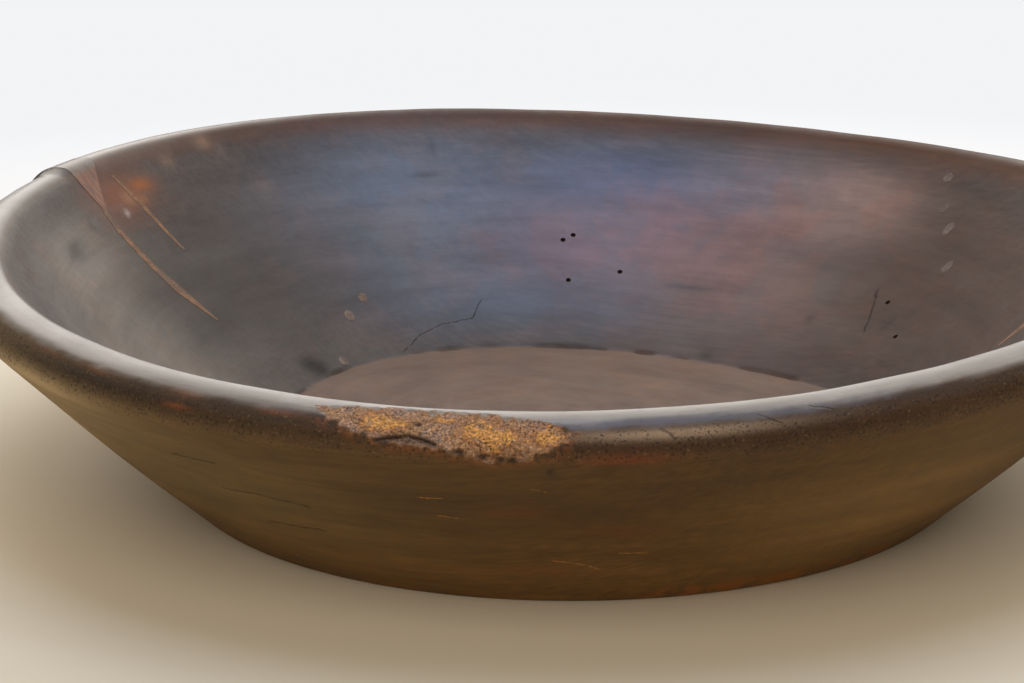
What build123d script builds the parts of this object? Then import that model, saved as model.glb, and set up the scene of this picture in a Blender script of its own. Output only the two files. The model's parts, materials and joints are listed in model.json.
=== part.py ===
"""Round dough bowl, hewn from one block of wood and later mended.

Millimetres, +Z up. The origin is the centre of the flat underside. X runs along the
grain, Y across it. The block moved as it dried, so the rim is a gentle saddle that
stands higher at the two ends of the grain. The splits in the wall follow the grain too.
"""

import os
from math import asin, atan, atan2, cos, degrees, hypot, radians, sin, tan

from build123d import *

# Body
RIM_RADIUS = 270.0  # reach of the lip, on average
RIM_HEIGHT = 110.0  # height of the rim above the table, on average
RIM_SADDLE = 10.0  # how much higher the rim stands at the ends of the grain than at the sides
BASE_RADIUS = 170.0  # flat underside, before its edge is worn round
BASE_EDGE_ROUND = 5.0
LIP_THICKNESS = 22.0  # wall at the rim, square to its slope
LIP_LAND = 1.0  # how much the rounding of the lip's edges falls short of a half circle
OUTER_BULGE = 2.5  # how far the outside of the wall swells past a straight line
INNER_HOLLOW = 3.0  # how far the inside of the wall sinks behind a straight line
FLOOR_RADIUS = 137.0  # inside corner between floor and wall
FLOOR_THICKNESS = 19.0  # at the inside corner
FLOOR_DISH = 1.5  # how much thinner the floor is at its centre

# Wedge at the top of the left split, placed across the grain
WEDGE_LEFT_Y = 0.0
WEDGE_RIGHT_Y = 22.0
WEDGE_TIP_Y = -0.5
WEDGE_LENGTH = 20.0  # down from the rim

# Mended splits, by points of Y across the grain, drop below the rim's high ends, and width
SEAM_DEPTH = 9.0  # of the putty, square to the slope of the inner wall
LEFT_SPLIT = [(-0.3, 18, 3), (-3.3, 26, 3.5), (-3.8, 41, 4), (-2.3, 52, 6), (2, 65, 1.5)]
LEFT_SHORT_SPLIT = [(24, 8, 1.5), (25.5, 20, 3), (25, 40, 1.5)]
RIGHT_SPLIT = [(92, 14, 1.5), (92, 30, 4.5), (90.5, 48, 5), (86.5, 58, 1.5)]

# Puttied holes and dents, by angle from +X, height and length up the slope
DAB_WIDTH = 4.5
DAB_DEPTH = 6.0
LEFT_WALL_HOLES = [(149, 44.5, 6), (153, 39.5, 7), (160, 25.5, 6)]
RIGHT_WALL_DENTS = [(65.5, 97, 6), (63, 86, 6), (60, 79.5, 9), (55, 67.5, 9)]

# Worked out from the sizes above
rim_end_height = RIM_HEIGHT + RIM_SADDLE / 2
rim_side_height = RIM_HEIGHT - RIM_SADDLE / 2
saddle_radius = (RIM_RADIUS**2 + RIM_SADDLE**2) / (2 * RIM_SADDLE)
lip_round = LIP_THICKNESS / 2 - LIP_LAND
blank_height = rim_end_height + LIP_THICKNESS  # the wall runs on past the rim until it is trimmed
reach = 2 * RIM_RADIUS  # well outside the bowl


def slope_past_lip(foot_radius: float, foot_height: float, offset: float) -> float:
    """Run over rise of a wall that passes the centre of the lip's round at an offset."""
    run = RIM_RADIUS - lip_round - foot_radius
    rise = RIM_HEIGHT - lip_round - foot_height
    return tan(atan2(run, rise) + asin(offset / hypot(run, rise)))


outer_slope = slope_past_lip(BASE_RADIUS, 0, lip_round)
inner_slope = slope_past_lip(FLOOR_RADIUS, FLOOR_THICKNESS, lip_round - LIP_THICKNESS)
inner_lean = atan(inner_slope)


def inner_radius(height: float) -> float:
    """Inside of the wall, before its hollow."""
    return FLOOR_RADIUS + inner_slope * (height - FLOOR_THICKNESS)


def wall_arc(foot_radius: float, foot_height: float, slope: float, bulge: float) -> JernArc:
    """Arc up a wall from its foot to the corner of the rim, and on to the top of the blank."""
    rise = RIM_HEIGHT - foot_height
    chord = Vector(slope * rise, rise)
    radius = (chord.length**2 / 4 + bulge**2) / (2 * bulge)
    half_turn = degrees(asin(chord.length / 2 / radius))
    run_on = (blank_height - foot_height) / rise
    start = chord.rotate(Axis.Z, -half_turn)
    return JernArc((foot_radius, foot_height), start, radius, 2 * half_turn * run_on)


def split_outline(split: list) -> list:
    """Corners of a split seen along the grain, down one side and back up the other."""
    down = [(y - width / 2, rim_end_height - drop) for y, drop, width in split]
    up = [(y + width / 2, rim_end_height - drop) for y, drop, width in reversed(split)]
    return down + up


def inner_wall_plane(angle: float, height: float) -> Plane:
    """Plane on the inner wall, with X up the slope and Z out into the hollow of the bowl."""
    turn = radians(angle)
    radius = inner_radius(height)
    return Plane(
        origin=(radius * cos(turn), radius * sin(turn), height),
        x_dir=(sin(inner_lean) * cos(turn), sin(inner_lean) * sin(turn), cos(inner_lean)),
        z_dir=(-cos(inner_lean) * cos(turn), -cos(inner_lean) * sin(turn), sin(inner_lean)),
    )


# The bowl as it was carved, before it split
with BuildPart() as carved:
    with BuildSketch(Plane.XZ):
        with BuildLine():
            outside = wall_arc(BASE_RADIUS, 0, outer_slope, OUTER_BULGE)
            inside = wall_arc(FLOOR_RADIUS, FLOOR_THICKNESS, inner_slope, INNER_HOLLOW)
            Line(outside @ 1, inside @ 1)
            floor = TangentArc((0, FLOOR_THICKNESS - FLOOR_DISH), inside @ 0, tangent=(1, 0))
            Polyline(floor @ 0, (0, 0), outside @ 0)
        make_face()
    revolve(axis=Axis.Z)
    base_edge = carved.edges().filter_by(Edge.is_closed).sort_by(Axis.Z)[0]
    fillet(base_edge, radius=BASE_EDGE_ROUND)
    # A wide cylinder lying across the grain trims the rim to its saddle
    with BuildSketch(Plane.XZ):
        with Locations((0, rim_side_height + saddle_radius)):
            Circle(saddle_radius)
    extrude(amount=reach, both=True, mode=Mode.SUBTRACT)
    rim = carved.faces().filter_by(GeomType.CYLINDER)[0]
    fillet(rim.edges(), radius=lip_round)

# Layer at the inner wall that putty fills
with BuildPart() as putty_layer:
    seam_reach = SEAM_DEPTH / cos(inner_lean)
    with BuildSketch(Plane.XZ):
        Polygon(
            (inner_radius(FLOOR_THICKNESS) - seam_reach, FLOOR_THICKNESS),
            (inner_radius(FLOOR_THICKNESS) + seam_reach, FLOOR_THICKNESS),
            (inner_radius(blank_height) + seam_reach, blank_height),
            (inner_radius(blank_height) - seam_reach, blank_height),
            align=None,
        )
    revolve(axis=Axis.Z)

# Open end of the left split, right through the lip
with BuildPart() as wedge_gap:
    with BuildSketch(Plane.YZ):
        Polygon(
            (WEDGE_TIP_Y, rim_end_height - WEDGE_LENGTH),
            (WEDGE_RIGHT_Y, rim_end_height),
            (WEDGE_RIGHT_Y, blank_height),
            (WEDGE_LEFT_Y, blank_height),
            (WEDGE_LEFT_Y, rim_end_height),
            align=None,
        )
    extrude(amount=-reach)


def split_gap(split: list, end: int) -> Part:
    """Groove of a split in the inner wall, at the -X or +X end of the grain."""
    with BuildPart() as gap:
        with BuildSketch(Plane.YZ):
            Polygon(*split_outline(split), align=None)
        extrude(amount=end * reach)
        add(putty_layer.part, mode=Mode.INTERSECT)
        add(wedge_gap.part, mode=Mode.SUBTRACT)
    return gap.part


def wall_pits(places: list) -> Part:
    """Six-sided pits in the inner wall, pointed up and down its slope."""
    with BuildPart() as pits:
        for angle, height, length in places:
            with BuildSketch(inner_wall_plane(angle, height)):
                Polygon(
                    (length / 2, 0),
                    (length / 4, DAB_WIDTH / 2),
                    (-length / 4, DAB_WIDTH / 2),
                    (-length / 2, 0),
                    (-length / 4, -DAB_WIDTH / 2),
                    (length / 4, -DAB_WIDTH / 2),
                    align=None,
                )
        extrude(amount=INNER_HOLLOW + DAB_DEPTH, both=True)
    return pits.part


# What has to go from the carved bowl, by the name of the repair that fills it
gaps = {
    "left_rim_wedge": wedge_gap.part,
    "left_split_filler": split_gap(LEFT_SPLIT, -1),
    "left_short_split_filler": split_gap(LEFT_SHORT_SPLIT, -1),
    "right_split_filler": split_gap(RIGHT_SPLIT, 1),
    "left_wall_hole_plugs": wall_pits(LEFT_WALL_HOLES),
    "right_wall_dent_fillers": wall_pits(RIGHT_WALL_DENTS),
}

# The bowl as it is now
with BuildPart() as bowl:
    add(carved.part)
    add(gaps.values(), mode=Mode.SUBTRACT)
nodes = {"bowl": bowl}

# The repairs, each scraped flush with the wall it sits in
for name, gap in gaps.items():
    with BuildPart() as repair:
        add(carved.part)
        add(gap, mode=Mode.INTERSECT)
    nodes[name] = repair

os.makedirs("parts", exist_ok=True)
for name, node in nodes.items():
    node.part.label = name
    export_step(node.part, f"parts/{name}.step")
    size = node.part.bounding_box().size
    print(f"{name}: {len(node.part.solids())} solids, {size.X:.1f} x {size.Y:.1f} x {size.Z:.1f}")
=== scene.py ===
# %% [markdown]
# A dough bowl, as a lesson in Blender.
# The bowl was hewn from one block of wood, used for a lifetime, split at the ends of its
# grain and mended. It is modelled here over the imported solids, in metres, with X along
# the grain and the origin at the centre of the flat underside. Cells follow the order in
# which the real bowl came about: carving, drying, wear, mending, and then its finish.

# %% Load the frame
import json
from math import acos, cos, pi, radians, sin, sqrt, tan

import bmesh
import bpy
import numpy as np
from mathutils import Matrix, Vector, noise

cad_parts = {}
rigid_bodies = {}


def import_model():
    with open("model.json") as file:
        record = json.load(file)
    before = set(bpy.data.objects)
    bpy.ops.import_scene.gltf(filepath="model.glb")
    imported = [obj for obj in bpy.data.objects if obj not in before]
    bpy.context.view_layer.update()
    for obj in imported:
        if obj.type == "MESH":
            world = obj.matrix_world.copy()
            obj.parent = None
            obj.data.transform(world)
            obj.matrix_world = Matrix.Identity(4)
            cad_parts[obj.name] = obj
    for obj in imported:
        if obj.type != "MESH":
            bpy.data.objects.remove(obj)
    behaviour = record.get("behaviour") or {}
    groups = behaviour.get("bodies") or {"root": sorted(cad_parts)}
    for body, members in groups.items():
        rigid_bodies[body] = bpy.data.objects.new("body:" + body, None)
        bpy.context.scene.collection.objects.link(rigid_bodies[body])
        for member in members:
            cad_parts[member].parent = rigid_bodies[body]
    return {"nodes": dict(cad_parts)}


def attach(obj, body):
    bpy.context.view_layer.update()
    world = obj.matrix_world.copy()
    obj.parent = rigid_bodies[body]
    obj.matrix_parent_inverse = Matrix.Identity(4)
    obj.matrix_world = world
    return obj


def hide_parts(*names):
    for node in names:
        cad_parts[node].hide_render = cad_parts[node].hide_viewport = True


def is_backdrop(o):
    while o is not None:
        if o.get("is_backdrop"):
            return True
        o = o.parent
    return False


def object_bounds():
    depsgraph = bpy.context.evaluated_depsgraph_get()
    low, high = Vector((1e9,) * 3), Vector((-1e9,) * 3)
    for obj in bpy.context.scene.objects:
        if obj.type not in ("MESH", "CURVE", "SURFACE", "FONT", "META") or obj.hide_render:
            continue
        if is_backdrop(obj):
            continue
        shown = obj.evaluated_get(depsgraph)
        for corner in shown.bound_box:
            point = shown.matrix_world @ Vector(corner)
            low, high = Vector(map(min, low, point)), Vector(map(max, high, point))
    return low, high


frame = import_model()
cad_low, cad_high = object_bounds()
MM = 0.001
print("solids:", sorted(frame["nodes"]), "box in mm:", [round(c / MM, 1) for c in cad_high - cad_low])

# %% [markdown]
# The section of the bowl. One half of it, from the middle of the underside round to the
# middle of the floor, is all that a round bowl needs. The wall swells a little outside and
# is hollowed a little inside, so both are flat arcs. The lip has no single radius: hands
# have worn it to a gentle crown and a flat shoulder above a tighter nose, which is what
# makes the wide pale band that it shows in the light. The centre of each round follows
# from the sizes, so that it runs on smoothly from the one before.

# %% Sizes of the section
RIM_HEIGHT = 110 * MM
BASE_RADIUS = 170 * MM
BASE_ROUND = 5 * MM
LIP_BROW = 7 * MM  # round from the crest into the inside
LIP_CROWN = 18 * MM  # round of the crest itself
LIP_SHOULDER = 24 * MM  # round of the worn shoulder
LIP_NOSE = 8 * MM  # round into the outside
CROWN_END = radians(28)  # how far the surface leans out where the crown gives way to the shoulder
SHOULDER_END = radians(46)
FLOOR_RADIUS = 137 * MM
FLOOR_HEIGHT = 19 * MM
FLOOR_CENTRE_HEIGHT = 17.5 * MM
OUTER_CHORD = radians(43.8)  # slope of the outside, from level
OUTER_HALF_TURN = radians(3.6)  # how much flatter it starts, and how much steeper it ends
OUTER_ARC = 1286 * MM
INNER_CHORD = radians(38.8)
INNER_HALF_TURN = radians(4.65)
INNER_ARC = 910 * MM

foot_slope = OUTER_CHORD - OUTER_HALF_TURN
foot_radius = BASE_RADIUS - BASE_ROUND * tan(foot_slope / 2)
wall_start = (foot_radius + BASE_ROUND * sin(foot_slope), BASE_ROUND * (1 - cos(foot_slope)))
outer_centre = (wall_start[0] - OUTER_ARC * sin(foot_slope), wall_start[1] + OUTER_ARC * cos(foot_slope))
shoulder_height = RIM_HEIGHT - LIP_CROWN + (LIP_CROWN - LIP_SHOULDER) * cos(CROWN_END)
nose_height = shoulder_height + (LIP_SHOULDER - LIP_NOSE) * cos(SHOULDER_END)
lip_slope = acos((outer_centre[1] - nose_height) / (OUTER_ARC - LIP_NOSE))
nose_radius = outer_centre[0] + (OUTER_ARC - LIP_NOSE) * sin(lip_slope)
shoulder_radius = nose_radius - (LIP_SHOULDER - LIP_NOSE) * sin(SHOULDER_END)
crown_radius = shoulder_radius - (LIP_CROWN - LIP_SHOULDER) * sin(CROWN_END)
corner_slope = INNER_CHORD - INNER_HALF_TURN
inner_centre = (FLOOR_RADIUS - INNER_ARC * sin(corner_slope), FLOOR_HEIGHT + INNER_ARC * cos(corner_slope))
brow_height = RIM_HEIGHT - LIP_BROW
brow_slope = acos((inner_centre[1] - brow_height) / (INNER_ARC + LIP_BROW))
brow_radius = inner_centre[0] + (INNER_ARC + LIP_BROW) * sin(brow_slope)
crest_edges = [round(edge / MM, 1) for edge in (brow_radius, crown_radius)]
print("crest of the lip, in mm from the axis:", crest_edges)

# %% [markdown]
# Drawing the section. It could be traced with a curve, but a line pulled out of one point
# keeps every size exact: straight stretches are extruded and round ones are spun. A plane
# that is merged to its centre gives the point, and a pen keeps track of where the line ends.

# %% Draw the section
CORNER_DRAWN = 4 * MM  # how much on each side of the inside corner is drawn finely, to keep it crisp

pen = [0.0, 0.0]


def draw_line(radius, height, steps):
    """Pulls the end of the section straight to a point, in equal steps."""
    step = ((radius - pen[0]) / steps, 0, (height - pen[1]) / steps)
    for _ in range(steps):
        bpy.ops.mesh.extrude_region_move(TRANSFORM_OT_translate={"value": step})
    pen[:] = radius, height


def draw_arc(centre, turn, steps):
    """Spins the end of the section about a centre, anticlockwise for a positive turn."""
    axis = (0, 1, 0) if turn > 0 else (0, -1, 0)
    bpy.ops.mesh.spin(steps=steps, angle=abs(turn), center=(centre[0], 0, centre[1]), axis=axis)
    across, up = pen[0] - centre[0], pen[1] - centre[1]
    pen[0] = centre[0] + across * cos(turn) - up * sin(turn)
    pen[1] = centre[1] + across * sin(turn) + up * cos(turn)


bpy.ops.object.select_all(action="DESELECT")
bpy.ops.mesh.primitive_plane_add(size=MM)
bowl = bpy.context.object
bowl.name = "bowl_body"
bpy.ops.object.mode_set(mode="EDIT")
bpy.ops.mesh.merge(type="CENTER")
draw_line(foot_radius, 0, steps=10)
draw_arc((foot_radius, BASE_ROUND), foot_slope, steps=4)
draw_arc(outer_centre, lip_slope - foot_slope, steps=44)
draw_arc((nose_radius, nose_height), pi - SHOULDER_END - lip_slope, steps=10)
draw_arc((shoulder_radius, shoulder_height), SHOULDER_END - CROWN_END, steps=4)
draw_arc((crown_radius, RIM_HEIGHT - LIP_CROWN), CROWN_END, steps=5)
draw_line(brow_radius, RIM_HEIGHT, steps=1)
draw_arc((brow_radius, brow_height), brow_slope, steps=6)
corner_turn = CORNER_DRAWN / INNER_ARC
draw_arc(inner_centre, corner_slope + corner_turn - brow_slope, steps=44)
draw_arc(inner_centre, -corner_turn, steps=4)
draw_line(FLOOR_RADIUS - CORNER_DRAWN, FLOOR_HEIGHT, steps=4)
draw_line(0, FLOOR_CENTRE_HEIGHT, steps=28)
print("the section ends at", [round(c / MM, 2) for c in pen], "mm")

# %% [markdown]
# Turning the section into a bowl. The Spin tool would carry it round, but is slow at this
# many steps, so a Screw modifier with no rise does the same and is applied. The seam and
# the two poles are merged, so the skin is closed. The steps are small because everything
# that follows, from tool marks to worn wood, is pressed into this one skin.

# %% Turn it round
ROUND_STEPS = 480
MERGE_REACH = 0.01 * MM  # points nearer than this are one


def apply(piece, kind, **settings):
    """Adds a modifier to a piece and applies it."""
    modifier = piece.modifiers.new(kind.lower(), kind)
    for setting, value in settings.items():
        setattr(modifier, setting, value)
    bpy.context.view_layer.objects.active = piece
    bpy.ops.object.modifier_apply(modifier=modifier.name)


def read_points(piece):
    """All points of a piece as rows of x, y, z."""
    flat = np.empty(len(piece.data.vertices) * 3)
    piece.data.vertices.foreach_get("co", flat)
    return flat.reshape(-1, 3)


bpy.ops.object.mode_set(mode="OBJECT")
section = read_points(bowl)  # kept, to find places on the skin by it later
apply(bowl, "SCREW", axis="Z", steps=ROUND_STEPS, render_steps=ROUND_STEPS, use_merge_vertices=True)
bpy.ops.object.mode_set(mode="EDIT")
bpy.ops.mesh.select_all(action="SELECT")
bpy.ops.mesh.remove_doubles(threshold=MERGE_REACH)
bpy.ops.mesh.normals_make_consistent(inside=False)
bpy.ops.object.mode_set(mode="OBJECT")
print("bowl:", len(bowl.data.vertices), "points,", len(bowl.data.polygons), "faces")

# %% [markdown]
# Drying. A block shrinks across its grain, so the rim ends up as a saddle that is higher
# at the two ends of the grain, and nothing made by axe and gouge is truly round. Both are
# slow waves round the rim, which one function adds to every point. A lattice could do it
# too, but waves by angle leave the flat foot as it is.

# %% Let the bowl settle into its shape
SADDLE = 5 * MM  # up at the ends of the grain, down at its sides
SETTLE_FROM = 30 * MM  # above this height the wall moves, and most at the rim
WALL_RUN = 1.15  # how far the wall leans out for each step up
MIDDLE_FOOT = 141.4 * MM  # middle of the wall, carried down to the underside
MIDDLE_RUN = 1.169
HOLLOW_FROM = 15 * MM  # points inside the wall and above this height belong to the hollow
CORNER_IN, CORNER_UP = 50 * MM, 70 * MM  # radius and height to which the corner's waves reach


def ease(value, start, end):
    """Rises smoothly from 0 at start to 1 at end."""
    share = np.clip((value - start) / (end - start), 0, 1)
    return share * share * (3 - 2 * share)


def mid_wall(height):
    """Radius halfway between the outside and the inside of the wall."""
    return MIDDLE_FOOT + MIDDLE_RUN * height


def settled(height):
    """Share of the rim's movement that the wall makes at a height."""
    return ease(height, SETTLE_FROM, RIM_HEIGHT)


def rim_lift(turn):
    """How far the rim stands above its mean height, by angle from the grain, in waves of mm."""
    slow = 0.07 * np.cos(turn) + 1.73 * np.sin(turn) - 0.27
    quick = 0.55 * np.cos(3 * turn) + 0.95 * np.sin(3 * turn) + 0.4 * np.cos(4 * turn)
    return SADDLE * np.cos(2 * turn) + (slow + quick) * MM


def rim_reach(turn):
    """How far the rim strays from a true circle."""
    return (2.1 * np.sin(2 * turn) - 1.1 * np.cos(3 * turn) + 0.75 * np.sin(3 * turn)) * MM


def floor_reach(turn):
    """How far the inside corner strays from a true circle, by hand and eye."""
    slow = 0.7 * np.cos(turn) + 2.5 * np.sin(turn) + 3.5 * np.cos(2 * turn) - 2.7 * np.sin(2 * turn)
    return (slow - 1.3 + 0.8 * np.cos(3 * turn) + 6.2 * np.sin(3 * turn)) * MM


def write_points(piece, points):
    """Puts moved points back."""
    piece.data.vertices.foreach_set("co", np.ascontiguousarray(points, dtype=np.float32).ravel())
    piece.data.update()


points = read_points(bowl)
radius = np.hypot(points[:, 0], points[:, 1])
turn = np.arctan2(points[:, 1], points[:, 0])
height = points[:, 2].copy()
hollow = (radius < mid_wall(height)) & (height > HOLLOW_FROM)
share = settled(height)
moved = radius + share * (WALL_RUN * rim_lift(turn) + rim_reach(turn))
near_corner = ease(radius, CORNER_IN, FLOOR_RADIUS) * (1 - ease(height, FLOOR_HEIGHT, CORNER_UP))
moved += hollow * near_corner * floor_reach(turn)
stretch = moved / np.maximum(radius, 1e-9)
points[:, 0] *= stretch
points[:, 1] *= stretch
points[:, 2] += share * rim_lift(turn)
write_points(bowl, points)
print("rim now stands", round(points[:, 2].max() / MM, 1), "mm high")

# %% [markdown]
# Finding a place on the skin. Wear, cracks and colour sit at an angle round the bowl and a
# distance from the crest of the lip, as on a peel that is laid flat. Every later step needs
# that pair, so one function unrolls points of the skin: the fall is the way over the skin
# from the crest, positive down the outside, negative down the inside and over the floor.

# %% Unroll the skin
LIP_ZONE = 88 * MM  # above this height the fall is measured round the lip, below it down the wall
LIP_OVERLAP = 3 * MM  # how much further down the lip's own measure is kept
LIP_HEART = (256 * MM, 96 * MM)  # a point inside the lip, from which its whole round is in sight
OUTER_POINTS = 60  # the section starts with these, up the outside
INNER_POINTS = 80  # and ends with these, down the inside and over the floor
UNDERSIDE = 10 * MM  # points of the foot below this height count as outside

way = np.concatenate([[0], np.cumsum(np.linalg.norm(np.diff(section, axis=0), axis=1))])
section_fall = way[section[:, 2].argmax()] - way
on_lip = section[:, 2] > LIP_ZONE - LIP_OVERLAP
lip_lean = np.arctan2(section[on_lip, 0] - LIP_HEART[0], section[on_lip, 2] - LIP_HEART[1])[::-1]
lip_fall = section_fall[on_lip][::-1]
up_outside, up_inside = section[:OUTER_POINTS, 2], section[: -INNER_POINTS - 1 : -1, 2]
outer_zone_fall = np.interp(LIP_ZONE, up_outside, section_fall[:OUTER_POINTS])
inner_zone_fall = np.interp(LIP_ZONE, up_inside, section_fall[: -INNER_POINTS - 1 : -1])
CORNER_FALL = inner_zone_fall - (LIP_ZONE - FLOOR_HEIGHT) / sin(INNER_CHORD)


def unroll(points):
    """Angle round the bowl and fall from the crest of the lip, for rows of x, y, z."""
    turn = np.arctan2(points[:, 1], points[:, 0])
    radius = np.hypot(points[:, 0], points[:, 1])
    share = settled(points[:, 2])
    lift = share * rim_lift(turn)
    plain_radius = radius - WALL_RUN * lift - share * rim_reach(turn)
    plain_height = points[:, 2] - lift
    outside = plain_radius > mid_wall(plain_height)
    outside |= (points[:, 2] < UNDERSIDE) & (radius < BASE_RADIUS)
    lean = np.arctan2(plain_radius - LIP_HEART[0], plain_height - LIP_HEART[1])
    down_outside = outer_zone_fall + (LIP_ZONE - plain_height) / sin(OUTER_CHORD)
    down_inside = inner_zone_fall - (LIP_ZONE - plain_height) / sin(INNER_CHORD)
    corner = FLOOR_RADIUS + floor_reach(turn)
    down_inside = np.where(radius < corner, CORNER_FALL - corner + radius, down_inside)
    down_wall = np.where(outside, down_outside, down_inside)
    return turn, np.where(plain_height > LIP_ZONE, np.interp(lean, lip_lean, lip_fall), down_wall)


def on_wall(angle, level, side):
    """Point on the wall at an angle in degrees and a height in mm, side 1 outside, -1 inside."""
    turn = radians(angle)
    plain = level * MM - float(rim_lift(turn) * settled(level * MM))
    arc, centre = (OUTER_ARC, outer_centre) if side > 0 else (INNER_ARC, inner_centre)
    radius = centre[0] + sqrt(arc**2 - (plain - centre[1]) ** 2)
    radius += float(settled(plain) * (WALL_RUN * rim_lift(turn) + rim_reach(turn)))
    return Vector((radius * cos(turn), radius * sin(turn), level * MM))


print("the inside corner lies", round(-CORNER_FALL / MM), "mm of skin from the crest")

# %% [markdown]
# Tool marks. The inside was scraped after the gouge and the outside after the axe, which
# leaves shallow facets a few centimetres across that only show where light glances off.
# A Displace modifier with a soft cloud texture presses them into the skin. The underside
# is left out, so that the bowl still stands flat.

# %% Scraped facets
FACET_SIZE, FACET_DEPTH = 60 * MM, 1.1 * MM
KNOCK_SIZE, KNOCK_DEPTH = 14 * MM, 0.5 * MM
FOOT_HEIGHT = 6 * MM  # left smooth
KNOCKED_FROM, KNOCKED_TO = 6 * MM, 46 * MM  # fall of the band below the lip that takes the knocks

points = read_points(bowl)
fall = unroll(points)[1]
for name, size, depth, detail, chosen in (
    ("carved", FACET_SIZE, FACET_DEPTH, 1, points[:, 2] > FOOT_HEIGHT),
    ("knocked", KNOCK_SIZE, KNOCK_DEPTH, 2, (fall > KNOCKED_FROM) & (fall < KNOCKED_TO)),
):
    group = bowl.vertex_groups.new(name=name)
    group.add([int(i) for i in np.flatnonzero(chosen)], 1.0, "REPLACE")
    texture = bpy.data.textures.new(name, "CLOUDS")
    texture.noise_scale = size
    texture.noise_depth = detail
    apply(bowl, "DISPLACE", texture=texture, strength=depth, vertex_group=name)
    print(name, "points:", int(chosen.sum()))

# %% [markdown]
# Two places where the wood gave way. At the left split the two banks no longer meet, and
# the nearer one sits a little lower, which shows as a step in the rim. At the inside corner
# the gouge has dug in, so a ragged groove runs between wall and floor. Both are small moves
# of the points near them, sharper than a texture could make them.

# %% Step in the rim and groove in the corner
STEP_START = radians(0.3)
STEP_END = radians(30)  # how far round from the split the lower bank comes level again
STEP_DROP = 2.0 * MM
STEP_OUTSIDE = (14 * MM, 38 * MM)  # fall over which the step runs out
STEP_INSIDE = (2 * MM, 12 * MM)
GROOVE_REACH = 4 * MM  # to each side of the corner
GROOVE_HALF_WIDTH = 1.3 * MM
GROOVE_DEPTH = 1.1 * MM
GROOVE_DOWN, GROOVE_OUT = 0.8, 0.5  # shares of its depth
RAGGED_SIZES = (9 * MM, 28 * MM)


def bell(value, middle, half_width):
    """1 in the middle, fading out on both sides."""
    return np.exp(-(((value - middle) / half_width) ** 2))


def ripple(places, size):
    """Soft random values from about -1 to 1 at places, with waves of a given size."""
    return np.array([noise.noise(Vector(place) / size) for place in places])


points = read_points(bowl)
fall = unroll(points)[1]
from_split = np.arctan2(-points[:, 1], -points[:, 0])
stepped = (from_split > STEP_START) & (from_split < STEP_END)
level_again = np.where(fall > 0, ease(fall, *STEP_OUTSIDE), ease(-fall, *STEP_INSIDE))
drop = STEP_DROP * (1 - ease(from_split, 0, STEP_END)) * (1 - level_again)
points[:, 2] -= stepped * drop
in_groove = np.abs(fall - CORNER_FALL) < GROOVE_REACH
dug = points[in_groove]
quick, slow = (ripple(dug, size) for size in RAGGED_SIZES)
depth = GROOVE_DEPTH * np.clip(0.25 + 1.8 * (quick + 0.9 * slow), 0, 1.2)
depth *= bell(fall[in_groove], CORNER_FALL, GROOVE_HALF_WIDTH)
dug[:, 2] -= GROOVE_DOWN * depth
dug[:, :2] *= (1 + GROOVE_OUT * depth / np.hypot(dug[:, 0], dug[:, 1]))[:, None]
points[in_groove] = dug
write_points(bowl, points)
print("step in mm:", round(drop[stepped].max() / MM, 2), "groove points:", int(in_groove.sum()))

# %% [markdown]
# Picking faces. By hand one would box-select the faces to work on. A script needs a rule, so
# faces are picked by where their centres lie and which way they look. Two questions come up
# again and again: how far is a place from a line, and does it lie inside an outline.

# %% Pick faces by place
def only(piece):
    """Makes a piece the only one selected, and the active one."""
    bpy.ops.object.select_all(action="DESELECT")
    piece.select_set(True)
    bpy.context.view_layer.objects.active = piece


def edit_faces(piece):
    """Goes into edit mode with a piece, to pick faces."""
    only(piece)
    bpy.ops.object.mode_set(mode="EDIT")
    bpy.ops.mesh.select_mode(type="FACE")


def select_faces(piece, wanted):
    """In edit mode, leaves just those faces selected whose centres and normals pass a test."""
    bpy.ops.mesh.select_all(action="DESELECT")
    skin = bmesh.from_edit_mesh(piece.data)
    centres = np.array([face.calc_center_median() for face in skin.faces])
    normals = np.array([face.normal for face in skin.faces])
    for face, chosen in zip(skin.faces, wanted(centres, normals)):
        if chosen:
            face.select_set(True)
    bmesh.update_edit_mesh(piece.data)


def from_line(across, down, corners):
    """Distance of places from a bent line."""
    nearest = np.full(len(across), np.inf)
    for (ax, ay), (bx, by) in zip(corners, corners[1:]):
        run_x, run_y = bx - ax, by - ay
        share = np.clip(((across - ax) * run_x + (down - ay) * run_y) / (run_x**2 + run_y**2), 0, 1)
        away = np.hypot(across - ax - share * run_x, down - ay - share * run_y)
        nearest = np.minimum(nearest, away)
    return nearest


def within(across, down, corners):
    """Whether places lie inside a closed outline."""
    crossed = np.zeros(len(across), dtype=bool)
    for (ax, ay), (bx, by) in zip(corners, corners[1:] + corners[:1]):
        if ay != by:
            crossing = ax + (down - ay) / (by - ay) * (bx - ax)
            crossed ^= ((ay > down) != (by > down)) & (across < crossing)
    return crossed


square = [(0, 0), (10, 0), (10, 10), (0, 10)]
print("a try in a square:", within(np.array([5, 15]), np.array([5, 5]), square))

# %% [markdown]
# Mending. A wedge of redder wood was let into the open end of the left split, and putty was
# pressed into the splits and old holes and scraped flush. Each repair has to follow the
# skin exactly, so it is made from the skin: the outline is scored with Bisect, the faces
# inside it are copied out and given their own thickness, and the bowl's own faces are sunk
# to make the seat. Boolean cutters could do it too, but leave long thin faces behind.

# %% A repair let into the skin
SEAT_DEPTH = 3 * MM
SEAT_CLEARANCE = 0.3 * MM  # between a repair and the bottom of its seat
SCORED_REACH = 4 * MM  # faces this near to a line are scored by it
FACING = 0.1  # least cosine between a face's normal and the direction that the repair faces


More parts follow.
